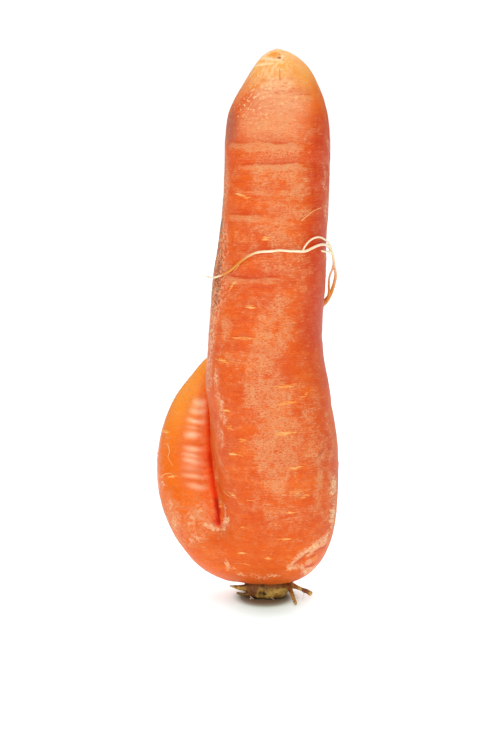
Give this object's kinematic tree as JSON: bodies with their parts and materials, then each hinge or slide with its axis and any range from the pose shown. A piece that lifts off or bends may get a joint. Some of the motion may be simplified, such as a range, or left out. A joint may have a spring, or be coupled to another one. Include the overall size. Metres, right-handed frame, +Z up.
{
  "type": "carrot",
  "caption": "Fresh orange carrot with a forked side root curled up behind it, a thin pale rootlet across the front and a cut leafy crown that it stands on.",
  "frame": {"origin": "on the crown's cut face, which the carrot stands on, near the middle of that face", "axes": "+Z up along the carrot from the crown to the broken tail, -Y to the front where the rootlet lies, +X to the right, with the side root on the -X side"},
  "size_m": [0.0554, 0.04, 0.1644],
  "materials": {
    "skin": "satin orange carrot skin, slightly dusty",
    "crown": "matt olive and brown leaf bases",
    "rootlet": "satin cream root fibre"
  },
  "bodies": {
    "root": {"taproot": "skin", "crown": "crown", "rootlet": "rootlet"}
  },
  "joints": []
}
